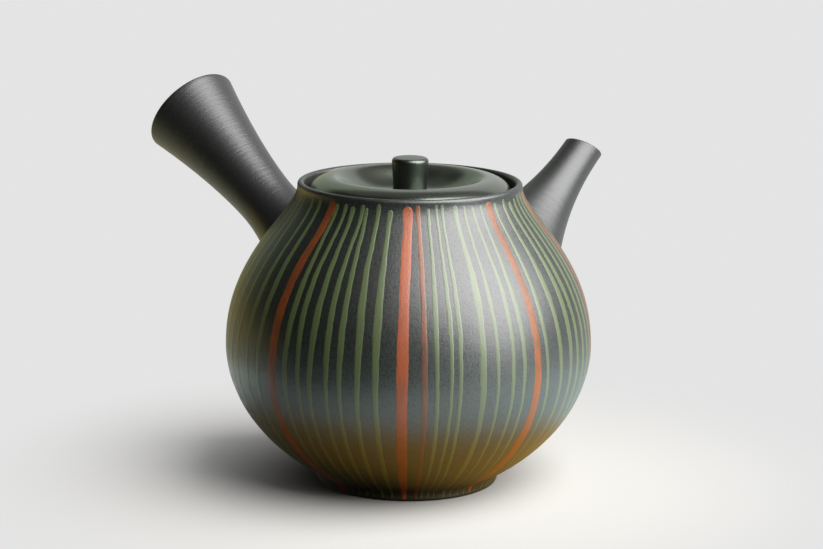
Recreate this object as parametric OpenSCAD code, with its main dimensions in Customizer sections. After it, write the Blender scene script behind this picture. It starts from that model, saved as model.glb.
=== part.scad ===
// Side-handled clay teapot: a thrown pot with a luted spout, handle and strainer, and a loose drop-in lid.
// Millimetres. The pot stands on z = 0 about the Z axis, and the spout points along +X.

/* [Pot] */
// Largest diameter, at the belly
belly_d = 98; // [90:1:110]
// Height of the belly line above the table
belly_z = 37.7; // [34:0.1:42]
// Height from the table to the top of the rim
pot_h = 81.5; // [76:0.1:90]
// Outside diameter of the rim
rim_d = 59.8; // [54:0.1:66]
// How far the wall climbs upright from the belly before it leans in
shoulder_rise = 24.2; // [20:0.1:27]
// How far the neck keeps its own direction below the rim
neck_run = 7; // [4:0.1:10]
// Angle by which the neck opens outwards at the rim
neck_flare = 7.5; // [0:0.5:12]
// How far the wall drops upright from the belly before it turns under
belly_drop = 10.2; // [7:0.1:15]
// How far the wall runs straight out where it leaves the foot
base_run = 22; // [15:0.1:26]
// Angle of the wall above level where it leaves the foot
base_angle = 29.5; // [24:0.5:35]
// Diameter of the foot
foot_d = 48.8; // [42:0.1:56]
// Height of the foot
foot_h = 2.5; // [1.5:0.1:4]
// Radius of the foot's bottom edge
foot_round = 0.8; // [0.4:0.1:1.2]
// Thickness of the thrown wall
wall = 2.6; // [2:0.1:3.4]
// Thickness of the floor above the table
floor_t = 4.2; // [3.4:0.1:5.5]

/* [Mouth] */
// Thickness of the rim
rim_t = 1.8; // [1.4:0.1:2.4]
// Depth of the lid's ledge below the rim
ledge_depth = 4.8; // [4:0.1:6]
// Width of the ledge that carries the lid
ledge_w = 3; // [2.2:0.1:4]
// Thickness of the ledge at its inner edge
ledge_t = 1.4; // [1:0.1:2]
// Drop of the ledge's sloping underside to the wall
ledge_slope = 2.6; // [1.6:0.1:4]

/* [Lid] */
// Gap between the lid's edge and the mouth
lid_gap = 1.2; // [0.5:0.1:2]
// Gap between the lid's flange and the ledge
flange_gap = 0.6; // [0.3:0.1:1.2]
// Height of the lid's upright edge above the ledge
lid_edge_h = 2.2; // [1.4:0.1:3]
// Rise of the lid's round crest above the rim
crest_rise = 1.2; // [0.4:0.1:3]
// Diameter of the lid's round crest
crest_d = 41; // [38:0.5:43]
// Depth of the dish below the crest
dish_depth = 5.4; // [4:0.1:6]
// Diameter of the flat in the middle of the dish
dish_flat_d = 16; // [14:0.5:18]
// Length of the bend from the crest into the dish
crest_turn = 3; // [2:0.1:5]
// Length of the bend from the dish's wall into its flat
dish_turn = 6.5; // [4:0.1:7]
// Thickness of the lid
lid_t = 2.8; // [2.2:0.1:3.6]
// Length of the flange below the ledge's top
flange_l = 5.5; // [4:0.1:8]
// Thickness of the flange
flange_t = 2.2; // [1.6:0.1:2.8]
// Diameter of the air hole
air_hole_d = 2.6; // [2:0.1:3.2]
// Distance of the air hole from the middle of the lid
air_hole_r = 9; // [8.4:0.1:12]

/* [Knob] */
// Diameter of the knob at its top
knob_d = 9.8; // [8:0.1:11]
// Diameter of the knob at its root
knob_root_d = 8.9; // [7:0.1:10]
// Height of the knob above the dish
knob_h = 10.4; // [8:0.1:14]
// Radius of the knob's top edge
knob_round = 1; // [0.5:0.1:1.6]

/* [Handle] */
// Turn from the spout to the handle, seen from above
handle_turn = 90; // [75:1:105]
// Angle of the handle above level
handle_tilt = 35; // [20:1:42]
// Height on the pot's axis that the handle points at
handle_aim = 30.2; // [24:0.1:40]
// Length of the handle from the pot's wall to its open end
handle_l = 53.8; // [40:0.1:75]
// Diameter of the handle at its open end
handle_end_d = 28; // [22:0.1:34]
// Diameter of the handle at its waist
handle_waist_d = 16.3; // [14:0.1:20]
// Diameter of the handle where it meets the pot
handle_root_d = 21; // [20:0.1:26]
// Distance of the waist from the pot's wall
handle_waist_at = 15; // [10:0.5:22]
// Thickness of the handle's wall
handle_wall = 2.5; // [1.8:0.1:3.2]
// Radius of both edges of the handle's open end
handle_round = 0.5; // [0.3:0.1:0.8]

/* [Spout] */
// Angle of the spout above level
spout_tilt = 41; // [34:1:48]
// Height on the pot's axis that the spout points at
spout_aim = 20; // [14:0.1:27]
// Length of the spout from the pot's wall to the middle of its tip
spout_l = 37.4; // [30:0.1:46]
// Outside diameter of the spout's tip
spout_tip_d = 10.8; // [9.4:0.1:13]
// Outside diameter of the spout where it meets the pot
spout_root_d = 26.7; // [24.5:0.1:30]
// Thickness of the spout's lip
spout_lip_t = 1.3; // [1:0.1:1.8]
// Thickness of the spout's wall at its root
spout_root_t = 2.4; // [2:0.1:3]
// Angle by which the tip is cut closer to level than square
tip_cut = 15.5; // [0:0.5:25]

/* [Strainer] */
// Diameter of the port through the wall behind the spout
port_d = 20; // [14:0.5:21]
// Outside diameter of the strainer's dome
strainer_d = 30; // [27:0.5:32]
// Thickness of the strainer
strainer_t = 1.8; // [1.4:0.1:2.4]
// Diameter of each strainer hole
sieve_hole_d = 1.6; // [1.2:0.1:2]
// Rings of holes round the middle hole
sieve_rings = 4; // [2:1:4]
// Angle between one ring of holes and the next
sieve_step = 14; // [12:0.5:15]

/* [Hidden] */
$fn = 96;
clay = "#3b3d40";
smooth_clay = "#4a4d4c";
bare_clay = "#33312f";

wall_steps = 16;
limb_steps = 18;
lip_steps = 6;
lid_steps = 10;
handle_flare_power = 1.6;
root_flare_power = 2;
spout_flare_power = 2.2;
// Depth to which the handle and spout run on inside the wall before they are cut to it
bury = 9;
// Length by which a cutter stands past what it cuts
over = 4;

belly_r = belly_d / 2;
foot_r = foot_d / 2;
rim_r = rim_d / 2;
lip_r = rim_t / 2;
lip_z = pot_h - lip_r;
mouth_r = rim_r - rim_t;
ledge_z = pot_h - ledge_depth;
ledge_r = mouth_r - ledge_w;

lid_r = mouth_r - lid_gap;
lid_edge_z = ledge_z + lid_edge_h;
crest_r = crest_d / 2;
crest_z = pot_h + crest_rise;
dish_r = dish_flat_d / 2;
dish_z = crest_z - dish_depth;
flange_r = ledge_r - flange_gap;
flange_in_r = flange_r - flange_t;

function bezier(p, t) =
    p[0] * pow(1 - t, 3) + 3 * p[1] * pow(1 - t, 2) * t + 3 * p[2] * (1 - t) * t * t + p[3] * pow(t, 3);
function bezier_heading(p, t) =
    (p[1] - p[0]) * pow(1 - t, 2) + 2 * (p[2] - p[1]) * (1 - t) * t + (p[3] - p[2]) * t * t;
function to_left(v) = [-v.y, v.x] / norm(v);
// Points along a curve, moved sideways to its left by a distance
function curve(p, steps, left = 0) =
    [for (i = [0:steps]) bezier(p, i / steps) + left * to_left(bezier_heading(p, i / steps))];
function arc(centre, r, from, to, steps) =
    [for (i = [0:steps]) centre + r * [cos(from + (to - from) * i / steps), sin(from + (to - from) * i / steps)]];
function tail(points) = [for (i = [1:len(points) - 1]) points[i]];
function reversed(points) = [for (i = [len(points) - 1:-1:0]) points[i]];
// Distance along a sloping line from the pot's axis to a wall drawn as points
function reach(points, aim, tilt) =
    lookup(tilt, [for (p = points) [atan2(p.y - aim, p.x), norm([p.x, p.y - aim])]]);

base_curve = [
    [foot_r, foot_h],
    [foot_r + base_run * cos(base_angle), foot_h + base_run * sin(base_angle)],
    [belly_r, belly_z - belly_drop],
    [belly_r, belly_z]
];
shoulder_curve = [
    [belly_r, belly_z],
    [belly_r, belly_z + shoulder_rise],
    [rim_r - neck_run * sin(neck_flare), lip_z - neck_run * cos(neck_flare)],
    [rim_r, lip_z]
];
foot_edge = arc([foot_r - foot_round, foot_round], foot_round, -90, 0, lip_steps);
lip = arc([rim_r - lip_r, lip_z], lip_r, 0, 180, lip_steps);
bowl_outside = concat(foot_edge, curve(base_curve, wall_steps));
shoulder_outside = curve(shoulder_curve, wall_steps);
outside = concat(bowl_outside, tail(shoulder_outside));

ledge_root_z = ledge_z - ledge_t - ledge_slope;
bowl_wall = [for (p = curve(base_curve, wall_steps, wall)) if (p.y > floor_t + foot_round) p];
shoulder_wall = [for (p = curve(shoulder_curve, wall_steps, wall)) if (p.y < ledge_root_z) p];
bowl_inside = concat([[foot_r - wall, floor_t]], bowl_wall);
shoulder_inside = concat(shoulder_wall, [[ledge_r, ledge_z - ledge_t], [ledge_r, ledge_z]]);
inside = concat(bowl_inside, tail(shoulder_inside));

handle_root = reach(outside, handle_aim, handle_tilt);
spout_root = reach(outside, spout_aim, spout_tilt);
strainer_root = reach(concat(bowl_wall, shoulder_wall), spout_aim, spout_tilt);

function handle_r(s) = s < handle_waist_at
    ? (handle_waist_d + (handle_root_d - handle_waist_d)
        * pow((handle_waist_at - s) / handle_waist_at, root_flare_power)) / 2
    : (handle_waist_d + (handle_end_d - handle_waist_d)
        * pow((s - handle_waist_at) / (handle_l - handle_waist_at), handle_flare_power)) / 2;
function spout_left(s) = max(spout_l - s, 0) / spout_l;
function spout_r(s) =
    (spout_tip_d + (spout_root_d - spout_tip_d) * pow(spout_left(s), spout_flare_power)) / 2;
function spout_wall(s) = spout_lip_t + (spout_root_t - spout_lip_t) * spout_left(s);

// A solid of revolution about Z from points given as radius and height
module turned(points) {
    rotate_extrude()
        polygon(points);
}

// Lays a limb drawn along +Z on a line that slopes up from the pot's axis
module along(turn, aim, tilt, distance) {
    rotate([0, 0, turn])
        translate([0, 0, aim])
            rotate([0, 90 - tilt, 0])
                translate([0, 0, distance])
                    children();
}

// The pot as if it were solid
module pot_outside() {
    turned(concat([[0, 0]], outside, [[rim_r, pot_h + over], [0, pot_h + over]]));
}

// The space in the pot below the ledge
module pot_inside() {
    turned(concat([[0, floor_t]], inside, [[0, ledge_z]]));
}

// The port behind the spout
module port() {
    along(0, spout_aim, spout_tilt, strainer_root - bury)
        cylinder(d = port_d, h = spout_root - strainer_root + 2 * bury);
}

// The thrown pot up to its belly line
module bowl() {
    color(clay)
        difference() {
            turned(concat([[0, 0]], bowl_outside, reversed(bowl_inside), [[0, floor_t]]));
            port();
        }
}

// The thrown pot from its belly line to its rim
module shoulder() {
    color(clay)
        difference() {
            turned(concat(shoulder_outside, tail(lip), [[mouth_r, ledge_z]], reversed(shoulder_inside)));
            port();
        }
}

module spout() {
    stations = [for (i = [0:limb_steps]) -bury + (spout_l + over + bury) * i / limb_steps];
    skin = [for (s = stations) [spout_r(s), s]];
    bore = [for (s = stations) [spout_r(s) - spout_wall(s), s]];
    color(clay)
        difference() {
            along(0, spout_aim, spout_tilt, spout_root)
                difference() {
                    turned(concat(skin, reversed(bore)));
                    translate([0, 0, spout_l])
                        rotate([0, -tip_cut, 0])
                            cylinder(r = spout_tip_d, h = 2 * over + spout_tip_d);
                }
            pot_outside();
        }
}

module handle() {
    lip_at = handle_l - handle_round;
    stations = [for (i = [0:limb_steps]) -bury + (lip_at + bury) * i / limb_steps];
    skin = [for (s = stations) [handle_r(s), s]];
    bore = [for (s = stations) [handle_r(s) - handle_wall, s]];
    outer_edge = arc([handle_r(lip_at) - handle_round, lip_at], handle_round, 0, 90, lip_steps);
    inner_edge = arc([handle_r(lip_at) - handle_wall + handle_round, lip_at], handle_round, 180, 90, lip_steps);
    color(clay)
        difference() {
            along(handle_turn, handle_aim, handle_tilt, handle_root)
                turned(concat(skin, tail(outer_edge), reversed(tail(inner_edge)), reversed(bore)));
            pot_outside();
        }
}

module strainer() {
    color(bare_clay)
        intersection() {
            along(0, spout_aim, spout_tilt, strainer_root)
                difference() {
                    sphere(d = strainer_d);
                    sphere(d = strainer_d - 2 * strainer_t);
                    for (ring = [0:sieve_rings], i = [0:max(6 * ring - 1, 0)])
                        rotate([0, 180 - ring * sieve_step, 360 * i / max(6 * ring, 1)])
                            translate([0, 0, strainer_d / 2 - strainer_t - over])
                                cylinder(d = sieve_hole_d, h = strainer_t + 2 * over);
                }
            pot_inside();
        }
}

module lid() {
    edge_curve = [
        [lid_r, lid_edge_z],
        [lid_r, (lid_edge_z + crest_z) / 2],
        [(lid_r + crest_r) / 2, crest_z],
        [crest_r, crest_z]
    ];
    dish_curve = [
        [crest_r, crest_z],
        [crest_r - crest_turn, crest_z],
        [dish_r + dish_turn, dish_z],
        [dish_r, dish_z]
    ];
    top = concat(curve(edge_curve, lid_steps), tail(curve(dish_curve, lid_steps)), [[0, dish_z]]);
    underside = [for (p = reversed(curve(dish_curve, lid_steps))) p - [0, lid_t]];
    flange = [
        [flange_in_r, crest_z - lid_t],
        [flange_in_r, ledge_z - flange_l],
        [flange_r, ledge_z - flange_l],
        [flange_r, ledge_z],
        [lid_r, ledge_z]
    ];
    color(smooth_clay)
        difference() {
            turned(concat([[0, dish_z - lid_t]], underside, flange, top));
            translate([-air_hole_r, 0, dish_z - lid_t - over])
                cylinder(d = air_hole_d, h = crest_z - dish_z + lid_t + 2 * over);
        }
}

module knob() {
    knob_top = dish_z + knob_h;
    knob_r = knob_d / 2;
    side = [
        [knob_root_d / 2, dish_z],
        [knob_root_d / 2, dish_z + knob_h / 2],
        [knob_r, knob_top - 2 * knob_round],
        [knob_r, knob_top - knob_round]
    ];
    edge = arc([knob_r - knob_round, knob_top - knob_round], knob_round, 0, 90, lip_steps);
    color(smooth_clay)
        turned(concat([[0, dish_z]], curve(side, lid_steps), tail(edge), [[0, knob_top]]));
}

bowl();
shoulder();
spout();
handle();
strainer();
lid();
knob();
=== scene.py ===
"""A side-handled clay teapot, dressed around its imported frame.

Every piece is turned or drawn in metres in the frame's own axes: the pot stands on z = 0 about the Z axis,
the spout points along +X and the handle along +Y.
"""

import bisect
import logging
import math
import random
from collections.abc import Callable, Sequence
from dataclasses import dataclass, field
from enum import Enum

import bpy
from mathutils import Matrix, Quaternion, Vector


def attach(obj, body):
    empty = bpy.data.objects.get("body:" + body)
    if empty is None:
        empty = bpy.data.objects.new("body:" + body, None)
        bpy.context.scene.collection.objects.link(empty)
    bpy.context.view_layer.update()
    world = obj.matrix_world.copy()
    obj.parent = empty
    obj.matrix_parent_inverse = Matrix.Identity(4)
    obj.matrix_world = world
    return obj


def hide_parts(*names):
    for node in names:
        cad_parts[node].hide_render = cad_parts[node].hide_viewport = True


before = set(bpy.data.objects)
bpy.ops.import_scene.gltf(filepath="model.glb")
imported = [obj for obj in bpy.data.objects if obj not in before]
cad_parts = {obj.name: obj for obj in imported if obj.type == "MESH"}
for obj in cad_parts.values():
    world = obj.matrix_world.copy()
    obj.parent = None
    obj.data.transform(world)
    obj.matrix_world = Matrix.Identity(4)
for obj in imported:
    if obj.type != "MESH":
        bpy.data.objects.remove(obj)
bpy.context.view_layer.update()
LOG = logging.getLogger("teapot")

MM = 0.001
# A metre in millimetres
METRE = 1000.0
UP = Vector((0, 0, 1))
FULL_TURN = 2 * math.pi
# A little above 1.5, for the sheen of a rubbed surface
CLAY_IOR = 1.58
# Where two points count as one when a turned section closes on itself
MERGE = 0.0005 * MM
DRILL_FACETS = 48
# A Mix node's colour sockets share their names with its other sockets, so they go by number
MIX_COLOURS = {"data_type": "RGBA"}
MIX_FROM, MIX_TO, MIX_RESULT = 6, 7, 2

Point = tuple[float, float]
Place = tuple[float, float, float]
Socket = bpy.types.NodeSocket
Tree = bpy.types.NodeTree
Material = bpy.types.Material
Mesh = bpy.types.Object


class Body(Enum):
    """The bodies that pieces ride on."""

    POT = "pot"
    LID = "lid"


class Slot(Enum):
    """The record's material slots."""

    POT = "pot_clay"
    LIMB = "limb_clay"
    LID = "lid_clay"
    BARE = "bare_clay"


# Curves and sections


def bezier(points: Sequence[Point], steps: int) -> list[Point]:
    """Walks a cubic curve.

    Args:
        points: its four control points.
        steps: how many equal steps to take.

    Returns:
        The points along it, both ends included.
    """
    (ax, ay), (bx, by), (cx, cy), (dx, dy) = points
    walked = []
    for i in range(steps + 1):
        t = i / steps
        a, b, c, d = (1 - t) ** 3, 3 * (1 - t) ** 2 * t, 3 * (1 - t) * t * t, t**3
        walked.append((a * ax + b * bx + c * cx + d * dx, a * ay + b * by + c * cy + d * dy))
    return walked


def arc(centre: Point, radius: float, start: float, end: float, steps: int) -> list[Point]:
    """Walks an arc.

    Args:
        centre: its centre.
        radius: its radius.
        start: where it starts, in degrees.
        end: where it ends, in degrees.
        steps: how many equal steps to take.

    Returns:
        The points along it, both ends included.
    """
    turns = [math.radians(start + (end - start) * i / steps) for i in range(steps + 1)]
    return [(centre[0] + radius * math.cos(t), centre[1] + radius * math.sin(t)) for t in turns]


def beside(points: Sequence[Point], distance: float) -> list[Point]:
    """Moves a line of points sideways.

    Args:
        points: the line.
        distance: how far to its left it moves.

    Returns:
        The moved points.
    """
    moved = []
    for i, (x, y) in enumerate(points):
        (ax, ay), (bx, by) = points[max(i - 1, 0)], points[min(i + 1, len(points) - 1)]
        length = math.hypot(bx - ax, by - ay)
        moved.append((x - distance * (by - ay) / length, y + distance * (bx - ax) / length))
    return moved


@dataclass(frozen=True)
class Axis:
    """A line that a piece is turned about.

    Attributes:
        foot: the point it starts from, in millimetres.
        turn: its heading seen from above, in degrees from +X.
        tilt: its angle above level, in degrees.
    """

    foot: Place = (0.0, 0.0, 0.0)
    turn: float = 0.0
    tilt: float = 90.0

    @property
    def along(self) -> Vector:
        """The direction of the axis.

        Returns:
            A vector of length 1.
        """
        turn, tilt = math.radians(self.turn), math.radians(self.tilt)
        level = math.cos(tilt)
        return Vector((level * math.cos(turn), level * math.sin(turn), math.sin(tilt)))

    @property
    def out(self) -> Vector:
        """A direction square to the axis, in its upright plane.

        Returns:
            A vector of length 1.
        """
        turn = math.radians(self.turn)
        side = Vector((-math.sin(turn), math.cos(turn), 0.0))
        return side.cross(self.along)

    def place(self, point: Point) -> Vector:
        """The place in metres of a point given as radius and distance along, in millimetres."""
        return MM * (Vector(self.foot) + point[0] * self.out + point[1] * self.along)


# Modelling steps


def deselect() -> None:
    """Leaves object mode and clears the selection."""
    if bpy.context.object and bpy.context.object.mode != "OBJECT":
        bpy.ops.object.mode_set(mode="OBJECT")
    bpy.ops.object.select_all(action="DESELECT")


def select_only(piece: Mesh) -> None:
    """Makes one piece the selected and active one.

    Args:
        piece: the piece.
    """
    deselect()
    piece.select_set(True)
    bpy.context.view_layer.objects.active = piece


def close_up() -> None:
    """Merges doubled points of the piece in edit mode, turns its faces outwards and leaves edit mode."""
    bpy.ops.mesh.select_all(action="SELECT")
    bpy.ops.mesh.remove_doubles(threshold=MERGE)
    bpy.ops.mesh.normals_make_consistent(inside=False)
    bpy.ops.object.mode_set(mode="OBJECT")


def select_edges(piece: Mesh, wanted: Callable[[Vector], bool]) -> None:
    """Selects only those edges of the piece in edit mode whose two ends are wanted.

    Args:
        piece: the piece.
        wanted: says of an end's place whether it is wanted.
    """
    bpy.ops.mesh.select_all(action="DESELECT")
    bpy.ops.object.mode_set(mode="OBJECT")
    for edge in piece.data.edges:
        edge.select = all(wanted(piece.data.vertices[end].co) for end in edge.vertices)
    bpy.ops.object.mode_set(mode="EDIT")


def turned(name: str, section: Sequence[Point], axis: Axis, steps: int) -> Mesh:
    """Turns a section about an axis, as on a wheel.

    Args:
        name: the piece's name.
        section: points as radius and distance along the axis, in millimetres.
        axis: the axis to turn about.
        steps: how many facets go round.

    Returns:
        The turned piece, with its faces outwards.
    """
    deselect()
    bpy.ops.mesh.primitive_plane_add(size=MM, location=(0, 0, 0))
    piece = bpy.context.active_object
    piece.name = piece.data.name = name
    bpy.ops.object.mode_set(mode="EDIT")
    bpy.ops.mesh.select_all(action="SELECT")
    bpy.ops.mesh.merge(type="CENTER")
    places = [axis.place(point) for point in section]
    bpy.ops.transform.translate(value=places[0])
    for here, there in zip(places, places[1:]):
        bpy.ops.mesh.extrude_region_move(TRANSFORM_OT_translate={"value": there - here})
    bpy.ops.mesh.select_all(action="SELECT")
    bpy.ops.mesh.spin(steps=steps, angle=FULL_TURN, center=axis.place((0, 0)), axis=axis.along)
    close_up()
    return piece


def smooth(piece: Mesh, angle: float) -> None:
    """Shades a piece smooth, apart from edges sharper than an angle in degrees."""
    select_only(piece)
    bpy.ops.object.shade_smooth_by_angle(angle=math.radians(angle))


def bore(piece: Mesh, axis: Axis, radius: float, start: float, end: float) -> None:
    """Drills a round hole through a piece.

    Args:
        piece: the piece to drill.
        axis: the hole's axis.
        radius: the hole's radius in millimetres.
        start: where along the axis the drill starts, in millimetres.
        end: where it ends.
    """
    drill = turned("drill", [(0, start), (radius, start), (radius, end), (0, end)], axis, DRILL_FACETS)
    select_only(piece)
    cut = piece.modifiers.new("bore", "BOOLEAN")
    cut.operation = "DIFFERENCE"
    cut.solver = "EXACT"
    cut.object = drill
    bpy.ops.object.modifier_apply(modifier=cut.name)
    bpy.data.objects.remove(drill)


def dress(piece: Mesh, body: Body, slot: Slot, materials: Sequence[Material], *nodes: str) -> None:
    """Gives a finished piece its body and materials, and hides the frame's nodes that it stands for.

    Args:
        piece: the finished piece.
        body: the body that it rides on.
        slot: the record's slot that its finish belongs to; not used.
        materials: its materials, in slot order.
        nodes: the nodes that it replaces.
    """
    piece.data.materials.clear()
    for material in materials:
        piece.data.materials.append(material)
    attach(piece, body.value)
    if nodes:
        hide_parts(*nodes)
    LOG.info("%s: %d faces", piece.name, len(piece.data.polygons))


# Finishes


def linear(colour: str, alpha: float = 1.0) -> tuple[float, float, float, float]:
    """Turns an sRGB colour into linear light.

    Args:
        colour: the colour as a hex value.
        alpha: how solid it is.

    Returns:
        Its red, green, blue and alpha.
    """
    parts = [int(colour[i : i + 2], 16) / 255 for i in (1, 3, 5)]
    red, green, blue = [p / 12.92 if p <= 0.04045 else ((p + 0.055) / 1.055) ** 2.4 for p in parts]
    return red, green, blue, alpha


def add_node(
    tree: Tree, kind: str, settings: dict | None = None, inputs: dict | None = None
) -> bpy.types.Node:
    """Adds a shader node.

    Args:
        tree: the material's node tree.
        kind: the node's type, without its ShaderNode prefix.
        settings: its properties by name.
        inputs: its sockets by name or number, each with a value or an output to link.

    Returns:
        The node.
    """
    node = tree.nodes.new("ShaderNode" + kind)
    for name, value in (settings or {}).items():
        setattr(node, name, value)
    for key, value in (inputs or {}).items():
        if isinstance(value, Socket):
            tree.links.new(value, node.inputs[key])
        else:
            node.inputs[key].default_value = value
    return node


def new_material(name: str) -> Material:
    """Starts a material with no nodes.

    Args:
        name: the material's name.

    Returns:
        The material.
    """
    material = bpy.data.materials.new(name)
    material.use_nodes = True
    material.node_tree.nodes.clear()
    return material


def per_mm(size: float) -> float:
    """The texture scale at which one feature measures a size in millimetres."""
    return 1 / (size * MM)


@dataclass(frozen=True)
class FiredClay:
    """Smoke-fired black clay: near black, with the low sheen of a rubbed surface and a fine sandy grain.

    Attributes:
        name: the material's name.
        dark: colour of the clay.
        pale: colour of its paler specks and thin places.
        roughness: how matte it is.
        sheen_level: strength of its reflection.
        pitting: share of that strength lost in the pits between grains.
        grain: size of a grain in millimetres.
        grain_depth: height of a grain in millimetres.
        ring: spacing of the turning lines in millimetres.
        ring_depth: depth of the turning lines in millimetres.
        axis: the axis that it was turned about.
        tint: colour of its reflection.
        streak: scale of the turning lines round the piece, where less draws them out longer.
        cloud: size of its paler clouds in millimetres.
        speck_noise: levels of the grain's noise over which a speck turns pale.
        speck_share: how pale a speck gets.
        cloud_noise: levels of the cloud's noise over which a cloud turns pale.
        cloud_share: how pale a cloud gets.
        matte_noise: levels of the grain's noise over which it turns more matte.
        pit_noise: levels of the grain's noise over which a pit turns into a grain.
    """

    name: str
    dark: str
    pale: str
    roughness: float
    sheen_level: float
    pitting: float
    grain: float
    grain_depth: float
    ring: float
    ring_depth: float
    axis: Axis = Axis()
    tint: str = "#ffffff"
    streak: float = 0.16
    cloud: float = 9.0
    speck_noise: Point = (0.52, 0.78)
    speck_share: float = 0.55
    cloud_noise: Point = (0.35, 0.7)
    cloud_share: float = 0.35
    matte_noise: Point = (0.3, 0.7)
    pit_noise: Point = (0.34, 0.56)

    def wound(self, tree: Tree, place: Socket) -> Socket:
        """Winds coordinates round the axis that the piece was turned about.

        Args:
            tree: the material's node tree.
            place: the object coordinates.

        Returns:
            Coordinates in which even noise becomes turning lines.
        """
        centre = self.axis.place((0, 0))
        upright = self.axis.along.rotation_difference(UP).to_euler()
        centred = add_node(tree, "VectorMath", {"operation": "SUBTRACT"}, {0: place, 1: centre})
        on_wheel = add_node(
            tree, "Mapping", {"vector_type": "POINT"}, {"Vector": centred.outputs[0], "Rotation": upright}
        )
        across, aside, height = add_node(tree, "SeparateXYZ", inputs={0: on_wheel.outputs[0]}).outputs
        flat = add_node(tree, "CombineXYZ", inputs={0: across, 1: aside})
        radius = add_node(tree, "VectorMath", {"operation": "LENGTH"}, {0: flat.outputs[0]})
        # Turning lines follow the height and the radius together, so they ring steep and flat places alike
        along = add_node(tree, "Math", {"operation": "ADD"}, {0: height, 1: radius.outputs["Value"]})
        ringed = add_node(tree, "CombineXYZ", inputs={0: across, 1: aside, 2: along.outputs[0]})
        # Drawn out round the piece, so each line is a short streak and none runs all the way round
        scale = (self.streak, self.streak, 1.0)
        streaks = add_node(
            tree, "Mapping", {"vector_type": "POINT"}, {"Vector": ringed.outputs[0], "Scale": scale}
        )
        return streaks.outputs[0]

    def make(self) -> Material:
        """Builds the material.

        Returns:
            The material, patterned on object coordinates.
        """
        material = new_material(self.name)
        tree = material.node_tree
        place = add_node(tree, "TexCoord").outputs["Object"]
        rings, grains, cloud = [
            add_node(
                tree,
                "TexNoise",
                inputs={"Vector": where, "Scale": per_mm(size), "Detail": detail, "Roughness": roughness},
            ).outputs["Fac"]
            for where, size, detail, roughness in (
                (self.wound(tree, place), self.ring, 2.0, 0.6),
                (place, self.grain, 2.0, 0.65),
                (place, self.cloud, 3.0, 0.5),
            )
        ]
        # A grain's top is more matte than its foot, by shares of the pitting
        smoothest = self.roughness * (1 - self.pitting / 3)
        roughest = self.roughness * (1 + self.pitting / 2)
        # Pits between the grains reflect less, which keeps the grain visible in the middle of a highlight
        pit_sheen = (1 - self.pitting) * self.sheen_level
        specks, thin, matte, sheen = [
            add_node(
                tree,
                "MapRange",
                inputs={"Value": noise, "From Min": low, "From Max": high, "To Min": least, "To Max": most},
            ).outputs[0]
            for noise, (low, high), least, most in (
                (grains, self.speck_noise, 0.0, self.speck_share),
                (cloud, self.cloud_noise, 0.0, self.cloud_share),
                (grains, self.matte_noise, smoothest, roughest),
                (grains, self.pit_noise, pit_sheen, self.sheen_level),
            )
        ]
        pale = add_node(tree, "Math", {"operation": "ADD"}, {0: specks, 1: thin})
        tones = {0: pale.outputs[0], MIX_FROM: linear(self.dark), MIX_TO: linear(self.pale)}
        colour = add_node(tree, "Mix", MIX_COLOURS, tones)
        grain_bump = add_node(
            tree, "Bump", inputs={"Strength": 1.0, "Distance": self.grain_depth * MM, "Height": grains}
        )
        ring_bump = add_node(
            tree,
            "Bump",
            inputs={
                "Strength": 1.0,
                "Distance": self.ring_depth * MM,
                "Height": rings,
                "Normal": grain_bump.outputs[0],
            },
        )
        shader = add_node(
            tree,
            "BsdfPrincipled",
            inputs={
                "Base Color": colour.outputs[MIX_RESULT],
                "Roughness": matte,
                "Specular IOR Level": sheen,
                "Specular Tint": linear(self.tint),
                "IOR": CLAY_IOR,
                "Normal": ring_bump.outputs[0],
            },
        )
        add_node(tree, "OutputMaterial", inputs={"Surface": shader.outputs[0]})
        return material


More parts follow.
